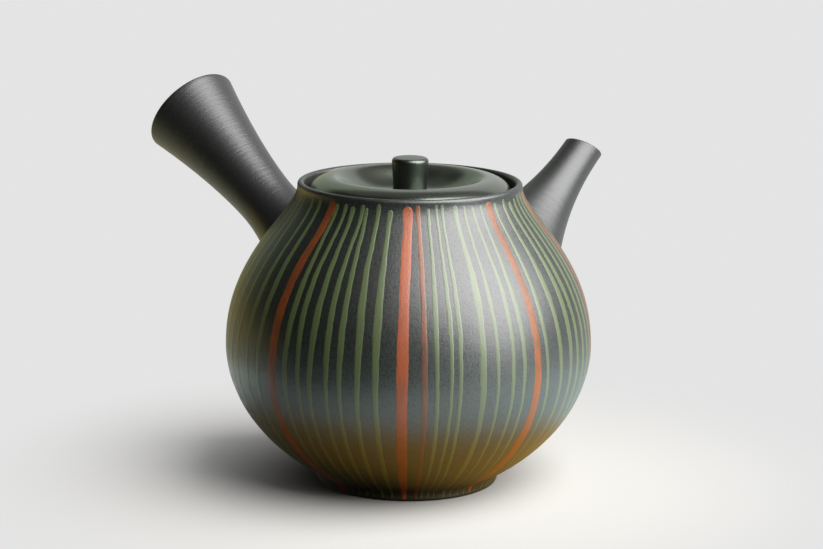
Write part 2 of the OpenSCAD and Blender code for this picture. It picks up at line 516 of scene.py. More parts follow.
@dataclass(frozen=True)
class Slip:
    """Coloured slip trailed on by hand and fired in: chalky, streaked along the line and thin in places.

    Attributes:
        name: the material's name.
        thick: colour where the slip lies thick.
        thin: colour where the clay shows through it.
        roughness: how matte it is.
        sheen_level: strength of its reflection.
        streak: width of a streak in millimetres.
        cover: share of the line that lies thick, from 0 to 1.
        painted_light_heights: heights in metres over which its cover changes, as painted light and shade.
        painted_light_rise: how much cover it gains over them on the way up, which paints shade low on the
            wall; below zero it is painted lighter near the foot instead.
        run: scale of the streaks down the wall, where less draws them out longer.
        cloud: size of its thicker patches in millimetres.
        cloud_weight: how much those count beside the streaks.
        bare_level: level of both noises at which slip with no cover would lie half thick.
        fading: how gently thick slip turns into thin.
        grain: size of a grain in millimetres.
        grain_depth: height of a grain in millimetres.
    """

    name: str
    thick: str
    thin: str
    roughness: float = 0.47
    sheen_level: float = 1.0
    streak: float = 0.7
    cover: float = 0.6
    painted_light_heights: Point = (0.03, 0.076)
    painted_light_rise: float = 0.5
    run: float = 0.22
    cloud: float = 7.0
    cloud_weight: float = 0.6
    bare_level: float = 1.3
    fading: float = 0.22
    grain: float = 0.4
    grain_depth: float = 0.05

    def make(self) -> Material:
        """Builds the material.

        Returns:
            The material, patterned on object coordinates.
        """
        material = new_material(self.name)
        tree = material.node_tree
        place = add_node(tree, "TexCoord").outputs["Object"]
        drawn = add_node(
            tree, "Mapping", {"vector_type": "POINT"}, {"Vector": place, "Scale": (1.0, 1.0, self.run)}
        )
        streaks, cloud, grains = [
            add_node(
                tree,
                "TexNoise",
                inputs={"Vector": where, "Scale": per_mm(size), "Detail": detail, "Roughness": roughness},
            ).outputs["Fac"]
            for where, size, detail, roughness in (
                (drawn.outputs[0], self.streak, 4.0, 0.6),
                (place, self.cloud, 2.0, 0.5),
                (place, self.grain, 2.0, 0.5),
            )
        ]
        uneven = add_node(
            tree, "Math", {"operation": "MULTIPLY_ADD"}, {0: cloud, 1: self.cloud_weight, 2: streaks}
        )
        # The thick colour gains or loses with height: painted shade low on the wall, or painted light near
        # the foot where the rise is below zero
        painted_light_by_height = add_node(
            tree,
            "MapRange",
            inputs={
                "Value": add_node(tree, "SeparateXYZ", inputs={0: place}).outputs["Z"],
                "From Min": self.painted_light_heights[0],
                "From Max": self.painted_light_heights[1],
                "To Min": -self.painted_light_rise / 2,
                "To Max": self.painted_light_rise / 2,
            },
        )
        level = add_node(tree, "Math", {"operation": "ADD"}, {0: uneven.outputs[0], 1: painted_light_by_height.outputs[0]})
        middle = self.bare_level - self.cover
        share = add_node(
            tree,
            "MapRange",
            inputs={
                "Value": level.outputs[0],
                "From Min": middle - self.fading,
                "From Max": middle + self.fading,
            },
        )
        tones = {0: share.outputs[0], MIX_FROM: linear(self.thin), MIX_TO: linear(self.thick)}
        colour = add_node(tree, "Mix", MIX_COLOURS, tones)
        bump = add_node(
            tree, "Bump", inputs={"Strength": 1.0, "Distance": self.grain_depth * MM, "Height": grains}
        )
        shader = add_node(
            tree,
            "BsdfPrincipled",
            inputs={
                "Base Color": colour.outputs[MIX_RESULT],
                "Roughness": self.roughness,
                "Specular IOR Level": self.sheen_level,
                "IOR": CLAY_IOR,
                "Normal": bump.outputs[0],
            },
        )
        add_node(tree, "OutputMaterial", inputs={"Surface": shader.outputs[0]})
        return material


# Pieces of the pot


@dataclass
class Pot:
    """The thrown vessel: foot, wall, rim and the ledge that carries the lid. Sizes in millimetres.

    Attributes:
        belly_r: radius of the belly.
        belly_z: height of the belly.
        height: height of the rim.
        rim_r: outside radius of the rim.
        shoulder_rise: length of the shoulder curve's handle, up from the belly.
        neck_run: length of its handle at the rim.
        neck_flare: outward lean of the wall at the rim, in degrees.
        belly_drop: length of the base curve's handle, down from the belly.
        base_run: length of its handle at the foot.
        base_angle: angle of the wall above level at the foot, in degrees.
        foot_r: radius of the foot.
        foot_h: height of the foot's side.
        foot_round: rounding of the foot's bottom edge.
        foot_turn: radius of the soft turn from the foot into the wall.
        wall: thickness of the wall.
        floor: height of the floor inside.
        rim_t: thickness of the rim.
        ledge_depth: depth of the ledge below the rim.
        ledge_w: width of the ledge.
        ledge_t: thickness of its edge.
        ledge_slope: height over which its underside slopes to the wall.
        port_r: radius of the port behind the spout.
        port_in: how far inside the wall's outer face the port's drill starts.
        port_out: how far outside that face it ends.
        floor_slack: how far below the floor a face still counts as inside.
        base_steps: steps along the wall below the belly.
        shoulder_steps: steps along the wall above it.
        edge_steps: steps round the foot's bottom edge.
        turn_steps: steps round the foot's soft turn and round the lip.
        crease: angle in degrees past which an edge stays sharp.
        facets: facets round the vessel.
    """

    belly_r: float = 49.0
    belly_z: float = 37.7
    height: float = 81.5
    rim_r: float = 29.9
    shoulder_rise: float = 24.2
    neck_run: float = 7.0
    neck_flare: float = 7.5
    belly_drop: float = 10.2
    base_run: float = 22.0
    base_angle: float = 29.5
    foot_r: float = 24.4
    foot_h: float = 2.5
    foot_round: float = 0.8
    foot_turn: float = 2.6
    wall: float = 2.6
    floor: float = 4.2
    rim_t: float = 1.8
    ledge_depth: float = 4.8
    ledge_w: float = 3.0
    ledge_t: float = 1.4
    ledge_slope: float = 2.6
    port_r: float = 10.0
    port_in: float = 12.0
    port_out: float = 8.0
    floor_slack: float = 0.5
    base_steps: int = 30
    shoulder_steps: int = 40
    edge_steps: int = 5
    turn_steps: int = 8
    crease: float = 38.0
    facets: int = 192

    @property
    def lip_r(self) -> float:
        """Radius of the rim's rounded lip."""
        return self.rim_t / 2

    @property
    def ledge_z(self) -> float:
        """Height of the ledge that carries the lid."""
        return self.height - self.ledge_depth

    @property
    def mouth_r(self) -> float:
        """Radius of the mouth."""
        return self.rim_r - self.rim_t

    def base_line(self) -> list[Point]:
        """The wall from the foot up to the belly.

        Returns:
            Its points as radius and height.
        """
        angle = math.radians(self.base_angle)
        out = (self.foot_r + self.base_run * math.cos(angle), self.foot_h + self.base_run * math.sin(angle))
        under = (self.belly_r, self.belly_z - self.belly_drop)
        foot, belly = (self.foot_r, self.foot_h), (self.belly_r, self.belly_z)
        return bezier([foot, out, under, belly], self.base_steps)

    def shoulder_line(self) -> list[Point]:
        """The wall from the belly up to the rim.

        Returns:
            Its points as radius and height.
        """
        flare = math.radians(self.neck_flare)
        top = self.height - self.lip_r
        over = (self.belly_r, self.belly_z + self.shoulder_rise)
        neck = (self.rim_r - self.neck_run * math.sin(flare), top - self.neck_run * math.cos(flare))
        return bezier([(self.belly_r, self.belly_z), over, neck, (self.rim_r, top)], self.shoulder_steps)

    def foot_edge(self) -> list[Point]:
        """The rounded bottom edge of the foot."""
        centre = (self.foot_r - self.foot_round, self.foot_round)
        return arc(centre, self.foot_round, -90, 0, self.edge_steps)

    def foot_corner(self) -> list[Point]:
        """The soft turn from the side of the foot into the wall.

        Returns:
            Its points as radius and height.
        """
        low = self.foot_h - self.foot_turn * math.tan(math.radians(90 - self.base_angle) / 2)
        centre = (self.foot_r + self.foot_turn, low)
        return arc(centre, self.foot_turn, 180, 90 + self.base_angle, self.turn_steps)

    def outside(self) -> list[Point]:
        """The outer face from the foot's underside to the rim."""
        return self.foot_edge() + self.foot_corner() + self.base_line()[1:] + self.shoulder_line()[1:]

    def inside(self) -> list[Point]:
        """The inner face from the floor up to the ledge.

        Returns:
            Its points as radius and height.
        """
        face = beside(self.base_line() + self.shoulder_line()[1:], self.wall)
        low, high = self.floor + self.foot_round, self.ledge_z - self.ledge_t - self.ledge_slope
        kept = [p for p in face if low < p[1] < high]
        ledge_r = self.mouth_r - self.ledge_w
        edge = [(ledge_r, self.ledge_z - self.ledge_t), (ledge_r, self.ledge_z)]
        return [(self.foot_r - self.wall, self.floor), *kept, *edge]

    def reach(self, aim: float, tilt: float) -> float:
        """Distance along a sloping line from the pot's axis to the outer wall.

        Args:
            aim: height at which the line leaves the axis.
            tilt: its angle above level, in degrees.

        Returns:
            The distance in millimetres.
        """
        seen = [(math.degrees(math.atan2(z - aim, r)), math.hypot(r, z - aim)) for r, z in self.outside()]
        for (low, near), (high, far) in zip(seen, seen[1:]):
            if low <= tilt <= high:
                return near + (far - near) * (tilt - low) / (high - low)
        raise ValueError(f"no wall at {tilt} degrees")

    def is_inside(self, face: bpy.types.MeshPolygon) -> bool:
        """Tells whether a face belongs to the vessel's unrubbed inside.

        Args:
            face: a face of the turned vessel.

        Returns:
            True on the inside below the lip.
        """
        centre, normal = face.center, face.normal
        radius, height = math.hypot(centre.x, centre.y) / MM, centre.z / MM
        outward = centre.x * normal.x + centre.y * normal.y > 0
        between = self.floor - self.floor_slack < height < self.height - self.rim_t
        return between and not outward and radius < self.belly_r - self.wall / 2

    def build(self, spout_axis: Axis, clay: Material, bare: Material) -> Mesh:
        """Turns the vessel and drills the port behind the spout.

        Args:
            spout_axis: the line that the port is drilled along.
            clay: finish of the outside.
            bare: finish of the inside.

        Returns:
            The dressed vessel.
        """
        lip_centre = (self.rim_r - self.lip_r, self.height - self.lip_r)
        lip = arc(lip_centre, self.lip_r, 0, 180, self.turn_steps)
        seat = [(self.mouth_r, self.ledge_z)]
        section = [(0, 0), *self.outside(), *lip[1:], *seat, *reversed(self.inside()), (0, self.floor)]
        piece = turned("pot_body", section, Axis(), self.facets)
        wall_at = self.reach(spout_axis.foot[2], spout_axis.tilt)
        bore(piece, spout_axis, self.port_r, wall_at - self.port_in, wall_at + self.port_out)
        smooth(piece, self.crease)
        finishes = [clay, bare]
        dress(piece, Body.POT, Slot.POT, finishes, "bowl", "shoulder")
        for face in piece.data.polygons:
            if self.is_inside(face):
                face.material_index = finishes.index(bare)
        return piece


@dataclass
class Handle:
    """The hollow trumpet that the pot is held by. Sizes in millimetres.

    Attributes:
        turn: its heading seen from above, in degrees from +X.
        tilt: its angle above level, in degrees.
        aim: height at which its axis leaves the pot's.
        length: its length from the pot's wall.
        end_r: outside radius of its open end.
        waist_r: outside radius of its waist.
        root_r: outside radius at the pot's wall.
        waist_at: distance of the waist from the wall.
        wall: thickness of its own wall.
        end_round: rounding of the open end's edges.
        flare_power: how late it flares past the waist, where more is later.
        sunk: how far its root reaches into the pot's wall.
        steps: steps along it.
        edge_steps: steps round each edge of the open end.
        crease: angle in degrees past which an edge stays sharp.
        facets: facets round it.
    """

    turn: float = 90.0
    tilt: float = 35.0
    aim: float = 30.2
    length: float = 53.8
    end_r: float = 14.0
    waist_r: float = 8.15
    root_r: float = 10.5
    waist_at: float = 15.0
    wall: float = 2.5
    end_round: float = 0.5
    flare_power: float = 1.6
    sunk: float = 2.0
    steps: int = 60
    edge_steps: int = 6
    crease: float = 40.0
    facets: int = 128

    @property
    def axis(self) -> Axis:
        """The handle's own axis."""
        return Axis((0.0, 0.0, self.aim), self.turn, self.tilt)

    def radius(self, s: float) -> float:
        """Outside radius at a distance from the pot's wall.

        Args:
            s: the distance.

        Returns:
            The radius.
        """
        if s < self.waist_at:
            before = (self.waist_at - s) / self.waist_at
            return self.waist_r + (self.root_r - self.waist_r) * before**2
        past = (s - self.waist_at) / (self.length - self.waist_at)
        return self.waist_r + (self.end_r - self.waist_r) * past**self.flare_power

    def build(self, pot: Pot, clay: Material) -> Mesh:
        """Turns the handle with its root sunk into the thickness of the pot's wall.

        Args:
            pot: the vessel that it is luted to.
            clay: its finish.

        Returns:
            The dressed handle.
        """
        start = pot.reach(self.aim, self.tilt)
        lip_at = self.length - self.end_round
        stations = [-self.sunk + (lip_at + self.sunk) * i / self.steps for i in range(self.steps + 1)]
        skin = [(self.radius(s), start + s) for s in stations]
        hollow = [(self.radius(s) - self.wall, start + s) for s in reversed(stations)]
        rim_r, edge = self.radius(lip_at), self.end_round
        outer_edge = arc((rim_r - edge, start + lip_at), edge, 0, 90, self.edge_steps)
        inner_edge = arc((rim_r - self.wall + edge, start + lip_at), edge, 90, 180, self.edge_steps)
        section = [*skin, *outer_edge[1:], *inner_edge[:-1], *hollow, skin[0]]
        piece = turned("handle", section, self.axis, self.facets)
        smooth(piece, self.crease)
        dress(piece, Body.POT, Slot.LIMB, [clay], "handle")
        return piece


@dataclass
class Spout:
    """The tapered spout with its tip cut for pouring. Sizes in millimetres.

    Attributes:
        tilt: its angle above level, in degrees.
        aim: height at which its axis leaves the pot's.
        length: its length from the pot's wall.
        tip_r: outside radius of its tip.
        root_r: outside radius at the pot's wall.
        lip_t: thickness of its wall at the tip.
        root_t: thickness of its wall at the root.
        tip_cut: slant of the tip's cut, in degrees from square.
        flare_power: how soon it narrows from the root, where more is sooner.
        sunk: how far its root reaches into the pot's wall.
        spare: length turned past the tip, which the cut takes off.
        lip_round: rounding of the lip as a share of its thickness.
        lip_steps: steps round that rounding.
        steps: steps along it.
        crease: angle in degrees past which an edge stays sharp.
        facets: facets round it.
    """

    tilt: float = 41.0
    aim: float = 20.0
    length: float = 37.4
    tip_r: float = 5.4
    root_r: float = 13.35
    lip_t: float = 1.3
    root_t: float = 2.4
    tip_cut: float = 15.5
    flare_power: float = 2.2
    sunk: float = 2.2
    spare: float = 4.0
    lip_round: float = 0.4
    lip_steps: int = 4
    steps: int = 44
    crease: float = 50.0
    facets: int = 112

    @property
    def axis(self) -> Axis:
        """The spout's own axis."""
        return Axis((0.0, 0.0, self.aim), 0.0, self.tilt)

    def left(self, s: float) -> float:
        """Share of the spout's length still to go at a distance from the wall."""
        return max(self.length - s, 0.0) / self.length

    def radius(self, s: float) -> float:
        """Outside radius at a distance from the pot's wall."""
        return self.tip_r + (self.root_r - self.tip_r) * self.left(s) ** self.flare_power

    def thickness(self, s: float) -> float:
        """Wall thickness at a distance from the pot's wall."""
        return self.lip_t + (self.root_t - self.lip_t) * self.left(s)

    def build(self, pot: Pot, clay: Material) -> Mesh:
        """Turns the spout, cuts its tip and rounds the lip.

        Args:
            pot: the vessel that it is luted to.
            clay: its finish.

        Returns:
            The dressed spout.
        """
        axis = self.axis
        start = pot.reach(self.aim, self.tilt)
        whole = self.length + self.spare + self.sunk
        stations = [-self.sunk + whole * i / self.steps for i in range(self.steps + 1)]
        skin = [(self.radius(s), start + s) for s in stations]
        hollow = [(self.radius(s) - self.thickness(s), start + s) for s in stations]
        piece = turned("spout", [*reversed(skin), *hollow], axis, self.facets)
        lean = math.radians(self.tip_cut)
        select_only(piece)
        bpy.ops.object.mode_set(mode="EDIT")
        bpy.ops.mesh.select_all(action="SELECT")
        bpy.ops.mesh.bisect(
            plane_co=axis.place((0, start + self.length)),
            plane_no=math.cos(lean) * axis.along - math.sin(lean) * axis.out,
            clear_outer=True,
        )
        bpy.ops.mesh.bridge_edge_loops()
        bpy.ops.mesh.region_to_loop()
        bpy.ops.mesh.bevel(offset=self.lip_round * self.lip_t * MM, segments=self.lip_steps, affect="EDGES")
        close_up()
        smooth(piece, self.crease)
        dress(piece, Body.POT, Slot.LIMB, [clay], "spout")
        return piece


@dataclass
class Lid:
    """The drop-in lid with its dish, flange, air hole and knob. Sizes in millimetres.

    Attributes:
        gap: gap between the lid's edge and the mouth.
        flange_gap: gap between the flange and the ledge.
        edge_h: height of the lid's upright edge.
        crest_rise: height of the crest above the pot's rim.
        crest_r: radius of the crest.
        dish_depth: depth of the dish below the crest.
        crest_turn: length of the dish curve's handle at the crest.
        dish_flat_r: radius of the dish's flat bottom.
        dish_turn: length of the dish curve's handle at that bottom.
        thickness: thickness of the lid under the dish.
        flange_l: how far the flange hangs below the ledge's top.
        flange_t: thickness of the flange.
        chamfer: cut on the edges of the flange and of the seat.
        air_hole_r: radius of the air hole.
        air_hole_at: its distance from the lid's axis, away from the spout.
        knob_r: radius of the knob at its top.
        knob_root_r: radius of the knob in the dish.
        knob_h: height of the knob.
        knob_round: rounding of the knob's top edge.
        slope_steps: steps along the slope from the edge to the crest.
        dish_steps: steps along the dish.
        knob_steps: steps along the knob's side.
        knob_edge_steps: steps round its top edge.
        crease: angle in degrees past which an edge stays sharp.
        facets: facets round the lid.
        knob_facets: facets round the knob.
    """

    gap: float = 1.2
    flange_gap: float = 0.6
    edge_h: float = 2.2
    crest_rise: float = 1.2
    crest_r: float = 20.5
    dish_depth: float = 5.4
    crest_turn: float = 3.0
    dish_flat_r: float = 8.0
    dish_turn: float = 6.5
    thickness: float = 2.8
    flange_l: float = 5.5
    flange_t: float = 2.2
    chamfer: float = 0.5
    air_hole_r: float = 1.3
    air_hole_at: float = 9.0
    knob_r: float = 4.9
    knob_root_r: float = 4.45
    knob_h: float = 10.4
    knob_round: float = 1.0
    slope_steps: int = 16
    dish_steps: int = 24
    knob_steps: int = 18
    knob_edge_steps: int = 6
    crease: float = 40.0
    facets: int = 160
    knob_facets: int = 72

    def build(self, pot: Pot, clay: Material, knob_clay: Material) -> list[Mesh]:
        """Turns the lid and its knob.

        Args:
            pot: the vessel whose ledge the lid sits on.
            clay: finish of the lid.
            knob_clay: finish of the knob.

        Returns:
            The dressed lid and knob.
        """
        seat_z = pot.ledge_z
        edge_r = pot.mouth_r - self.gap
        crest_z = pot.height + self.crest_rise
        dish_z = crest_z - self.dish_depth
        flange_r = pot.mouth_r - pot.ledge_w - self.flange_gap
        edge_z = seat_z + self.edge_h
        slope = bezier(
            [
                (edge_r, edge_z),
                (edge_r, (edge_z + crest_z) / 2),
                ((edge_r + self.crest_r) / 2, crest_z),
                (self.crest_r, crest_z),
            ],
            self.slope_steps,
        )
        dish = bezier(
            [
                (self.crest_r, crest_z),
                (self.crest_r - self.crest_turn, crest_z),
                (self.dish_flat_r + self.dish_turn, dish_z),
                (self.dish_flat_r, dish_z),
            ],
            self.dish_steps,
        )
        underside = [(r, z - self.thickness) for r, z in reversed(dish)]
        flange_in, flange_z = flange_r - self.flange_t, seat_z - self.flange_l
        chamfer = self.chamfer
        flange = [
            (flange_in, crest_z - self.thickness),
            (flange_in, flange_z + chamfer),
            (flange_in + chamfer, flange_z),
            (flange_r - chamfer, flange_z),
            (flange_r, flange_z + chamfer),
            (flange_r, seat_z),
            (edge_r - chamfer, seat_z),
            (edge_r, seat_z + chamfer),
        ]
        section = [(0, dish_z - self.thickness), *underside, *flange, *slope, *dish[1:], (0, dish_z)]
        lid = turned("lid", section, Axis(), self.facets)
        hole = Axis((-self.air_hole_at, 0.0, 0.0))
        bore(lid, hole, self.air_hole_r, dish_z - 2 * self.thickness, crest_z + self.thickness)
        smooth(lid, self.crease)
        dress(lid, Body.LID, Slot.LID, [clay], "lid")
        return [lid, self.build_knob(dish_z, knob_clay)]

    def build_knob(self, dish_z: float, clay: Material) -> Mesh:
        """Turns the knob.

        Args:
            dish_z: height of the dish that it stands in.
            clay: its finish.

        Returns:
            The dressed knob.
        """
        top = dish_z + self.knob_h
        side = bezier(
            [
                (self.knob_root_r, dish_z),
                (self.knob_root_r, dish_z + self.knob_h / 2),
                (self.knob_r, top - 2 * self.knob_round),
                (self.knob_r, top - self.knob_round),
            ],
            self.knob_steps,
        )
        edge_centre = (self.knob_r - self.knob_round, top - self.knob_round)
        edge = arc(edge_centre, self.knob_round, 0, 90, self.knob_edge_steps)
        knob = turned("knob", [(0, dish_z), *side, *edge[1:], (0, top)], Axis(), self.knob_facets)
        smooth(knob, self.crease)
        dress(knob, Body.LID, Slot.LID, [clay], "knob")
        return knob


class Colour(Enum):
    """The slips that the stripes are drawn in."""

    GREEN = "green_slip"
    RED = "red_slip"
    BOLD_RED = "bold_red_slip"
    LIT_SIDE_RED = "lit_side_red_slip"
    BROWN = "brown_slip"


@dataclass(frozen=True)
class Stroke:
    """How one kind of stripe is drawn.

    Attributes:
        colour: its slip.
        width: its width at the belly in millimetres.
        narrow: share of that width that shrinks with the wall's radius.
        full: share of that width that is added where the slip ran fullest.
        thin_end: length in millimetres over which its lower end runs thin.
        end: share of its width that is left at the very end.
        spread: share of that width that is added towards the foot.
    """

    colour: Colour
    width: float
    narrow: float = 0.58
    full: float = 0.45
    thin_end: float = 7.0
    end: float = 0.5
    spread: float = 0.0


@dataclass(frozen=True)
class Line:
    """One stripe.

    Attributes:
        angle: degrees to the right of the side that faces the camera.
        stroke: how it is drawn.
        start: how far below the rim it starts, in millimetres.
        share: its width as a share of the stroke's.
        lean: how far to the right its top is drawn, in millimetres.
    """

    angle: float
    stroke: Stroke
    start: float = 0.6
    share: float = 1.0
    lean: float = 0.0

    @property
    def width(self) -> float:
        """Its width at the belly in millimetres."""
        return self.stroke.width * self.share


class WallLine:
    """The pot's outside as a line that is followed from the rim down to the foot. Lengths in millimetres."""

    def __init__(self, points: Sequence[Point]) -> None:
        """Measures the line.

        Args:
            points: its points as radius and height, from the rim down.
        """
        self.points = points
        self.marks = [0.0]
        for (ar, az), (br, bz) in zip(points, points[1:]):
            self.marks.append(self.marks[-1] + math.hypot(br - ar, bz - az))
        self.length = self.marks[-1]
        self.widest = max(r for r, _ in points)

    def at(self, s: float) -> tuple[float, float, float, float]:
        """The place and facing of the wall at a distance from the rim.

        Args:
            s: the distance along the line.

        Returns:
            Its radius and height, then the outward and upward parts of its facing.
        """
        last = len(self.points) - 2
        k = min(max(bisect.bisect_right(self.marks, s) - 1, 0), last)
        length = self.marks[k + 1] - self.marks[k]
        share = (s - self.marks[k]) / length
        (ar, az), (br, bz) = self.points[k], self.points[k + 1]
        return ar + (br - ar) * share, az + (bz - az) * share, (az - bz) / length, (br - ar) / length


@dataclass
class Stripes:
    """Slip stripes that run from the neck to the foot. Sizes in millimetres, angles in degrees.

    Attributes:
        front: part azimuth of the side that faces the camera, in degrees.
        seed: seed of the hand's unevenness.
        lift: height of the slip above the wall.
        sink: depth of the ribbons' edges in the wall.
        stations: steps along a stripe.
        head_rows: how many of them are in its round head.
        columns: steps across a stripe.
        wander: size of its slow waves.
        shake: size of its quick waves.
        ragged: unevenness of its edges.
        full_at: distance from the rim at which the slip ran fullest.
        full_reach: distance over which that fades.
        lean_reach: distance from the rim over which a leaning top comes into line.
        spread_power: how close to the foot a spreading stripe spreads, where more is closer.
        crown: how flat its top is from side to side, where more is flatter.
        drift_waves: shortest and longest of its slow waves.
        quiver_waves: shortest and longest of its quick waves.
        swell_waves: shortest and longest of the waves in its width.
        swell: size of those, as a share of its width.
        edge_waves: shortest and longest of the waves in each edge.
        wave_parts: how many plain waves each of those is the mean of.
        most_blob: the most that its head swells, as a share of its width.
        starts: least and greatest distance below the rim at which a green stripe starts.
        green: how a green stripe is drawn.
        thin_green: how a thin one is drawn.
        bold_green: how the bold one is drawn.
        red: how a red stripe on the far side is drawn.
        drawn_reds: the red and brown stripes that the camera sees.
        green_angles: angles of the green stripes that the camera sees.
        bold_green_angle: angle of the one that is drawn boldly.
        thin_zone: angles between which they are drawn thinly.
        leaning_left: angle left of which their tops lean in.
        left_lean: how far those lean, in millimetres.
        green_shares: least and greatest width of the front's green stripes, as shares of the stroke's.
        far_reds: angles of the red stripes on the far side.
        far_step: usual angle between stripes on the far side.
        far_uneven: least and greatest share of that angle.
        far_shares: least and greatest width of the green stripes there, as shares of the stroke's.
        far_red_shares: the same for the red ones.
        red_room: share of the usual angle that a red stripe keeps clear on each side.
        foot_skip: points at the bottom of the pot's outside that no stripe reaches.
        crease: angle in degrees past which an edge stays sharp.
        draws: the hand's unevenness.
    """

    front: float
    seed: int = 11
    lift: float = 0.04
    sink: float = 0.03
    stations: int = 120
    head_rows: int = 8
    columns: int = 6
    wander: float = 0.3
    shake: float = 0.07
    ragged: float = 0.06
    full_at: float = 30.0
    full_reach: float = 14.0
    lean_reach: float = 20.0
    spread_power: int = 5
    crown: int = 4
    drift_waves: Point = (30.0, 110.0)
    quiver_waves: Point = (7.0, 18.0)
    swell_waves: Point = (12.0, 50.0)
    swell: float = 0.13
    edge_waves: Point = (2.5, 7.0)
    wave_parts: int = 3
    most_blob: float = 0.35
    starts: Point = (0.3, 1.7)
    green: Stroke = Stroke(Colour.GREEN, 1.5, thin_end=18.0)
    thin_green: Stroke = Stroke(Colour.GREEN, 1.1, thin_end=18.0)
    bold_green: Stroke = Stroke(Colour.GREEN, 1.85, thin_end=18.0)
    red: Stroke = Stroke(Colour.RED, 2.5, narrow=0.3, full=0.45)
    drawn_reds: tuple[Line, ...] = (
        Line(-45.4, Stroke(Colour.RED, 2.9, narrow=0.4, full=0.2, spread=1.3), lean=2.0),
        Line(-1.7, Stroke(Colour.BOLD_RED, 3.4, narrow=0.75, full=0.0), lean=0.6),
        Line(5.0, Stroke(Colour.BROWN, 1.7, narrow=0.6, full=0.0), start=0.4, lean=-0.5),
        # The reds on the lit right side are drawn in a paler copy of the red slip, as painted light
        Line(42.7, Stroke(Colour.LIT_SIDE_RED, 2.5, narrow=0.2, full=0.1, thin_end=14.0, end=0.0, spread=2.3)),
        Line(84.2, Stroke(Colour.LIT_SIDE_RED, 3.2, narrow=0.1, full=0.0), lean=-1.0),
    )
    green_angles: tuple[float, ...] = (
        -58.6, -52.3, -39.9, -35.2, -30.6, -25.3, -20.9, -15.3, -9.5, 8.8, 12.9, 15.9, 23.0, 27.8, 33.1, 37.3,
        47.2, 53.9, 59.8, 64.5, 69.5, 74.2, 78.5,
    )
    bold_green_angle: float = 23.0
    thin_zone: Point = (5.0, 50.0)
    leaning_left: float = -25.0
    left_lean: float = 1.0
    green_shares: Point = (0.88, 1.1)
    far_reds: tuple[float, ...] = (134.0, 178.0, 220.0, 262.0)
    far_step: float = 6.1
    far_uneven: Point = (0.9, 1.1)
    far_shares: Point = (0.75, 1.1)
    far_red_shares: Point = (0.9, 1.15)
    red_room: float = 0.7
    foot_skip: int = 2
    crease: float = 60.0
    draws: random.Random = field(init=False)

    def __post_init__(self) -> None:
        """Seeds the hand's unevenness."""
        self.draws = random.Random(self.seed)

    def green_line(self, angle: float, stroke: Stroke, shares: Point, lean: float = 0.0) -> Line:
        """A green stripe of uneven width and start.

        Args:
            angle: its angle.
            stroke: how it is drawn.
            shares: least and greatest share of the stroke's width.
            lean: how far to the right its top is drawn.

        Returns:
            The stripe.
        """
        share = self.draws.uniform(*shares)
        return Line(angle, stroke, self.draws.uniform(*self.starts), share, lean)

    def lines(self) -> list[Line]:
        """Sets out all the stripes round the pot.

        Returns:
            The stripes that the camera sees, then those of the far side at the same spacing.
        """
        found = list(self.drawn_reds)
        for angle in self.green_angles:
            stroke = self.thin_green if self.thin_zone[0] < angle < self.thin_zone[1] else self.green
            if angle == self.bold_green_angle:
                stroke = self.bold_green
            lean = self.left_lean if angle < self.leaning_left else 0.0
            found.append(self.green_line(angle, stroke, self.green_shares, lean))
        found += [Line(a, self.red, share=self.draws.uniform(*self.far_red_shares)) for a in self.far_reds]
        angle = max(line.angle for line in self.drawn_reds) + self.far_step
        last = 360 + min(self.green_angles)
        while angle < last - self.far_step / 2:
            near_red = any(abs(angle - red) < self.far_step * self.red_room for red in self.far_reds)
            if not near_red:
                found.append(self.green_line(angle, self.green, self.far_shares))
            angle += self.far_step * self.draws.uniform(*self.far_uneven)
        return found

    def waves(self, lengths: Point, size: float) -> Callable[[float], float]:
        """An uneven wave along a stripe.

        Args:
            lengths: lengths of the shortest and the longest wave in it, in millimetres.
            size: the wave's size.

        Returns:
            A function of the distance along the stripe, in millimetres.
        """
        draw, count = self.draws.uniform, self.wave_parts
        parts = [(draw(*lengths), draw(0, FULL_TURN)) for _ in range(count)]
        return lambda s: size * sum(math.sin(FULL_TURN * s / long + phase) for long, phase in parts) / count

    def stretches(self, line: Line, span: float) -> list[float]:
        """Steps along a stripe, closer together in its round head.

        Args:
            line: the stripe.
            span: its length.

        Returns:
            Distances from its start.
        """
        head = [line.width * i / self.head_rows for i in range(self.head_rows)]
        rest = self.stations - self.head_rows
        return head + [line.width + (span - line.width) * i / rest for i in range(rest + 1)]

    def rows(self, wall: WallLine, line: Line) -> list[tuple[float, ...]]:
        """Draws the two edges of a stripe down the pot's wall.

        Args:
            wall: the outside of the pot, followed from the rim down.
            line: the stripe.

        Returns:
            Its left and right edge at each step, from its middle line, then the wall's place and facing.
        """
        drift, quiver = self.waves(self.drift_waves, self.wander), self.waves(self.quiver_waves, self.shake)
        swell = self.waves(self.swell_waves, self.swell)
        edges = [self.waves(self.edge_waves, self.ragged) for _ in range(2)]
        blob = self.draws.uniform(0.0, self.most_blob)
        stroke, half, span = line.stroke, line.width / 2, wall.length - line.start
        rows = []
        for done in self.stretches(line, span):
            radius, height, out, up = wall.at(line.start + done)
            head = math.sqrt(max(1 - (1 - min(done / half, 1)) ** 2, 0.0))
            bead = 1 + blob * math.exp(-(((done - half) / line.width) ** 2))
            tail = min(1.0, stroke.end + (1 - stroke.end) * (span - done) / stroke.thin_end)
            full = stroke.full * math.exp(-(((done - self.full_at) / self.full_reach) ** 2))
            spread = stroke.spread * (done / span) ** self.spread_power
            taper = 1 - stroke.narrow * (1 - radius / wall.widest) + full + spread
            width = line.width * taper * head * bead * tail * (1 + swell(done))
            aside = drift(done) + quiver(done) + line.lean * math.exp(-((done / self.lean_reach) ** 2))
            sides = [aside + sign * (width / 2 + head * edge(done)) for sign, edge in zip((-1, 1), edges)]
            rows.append((*sides, radius, height, out, up))
        return rows

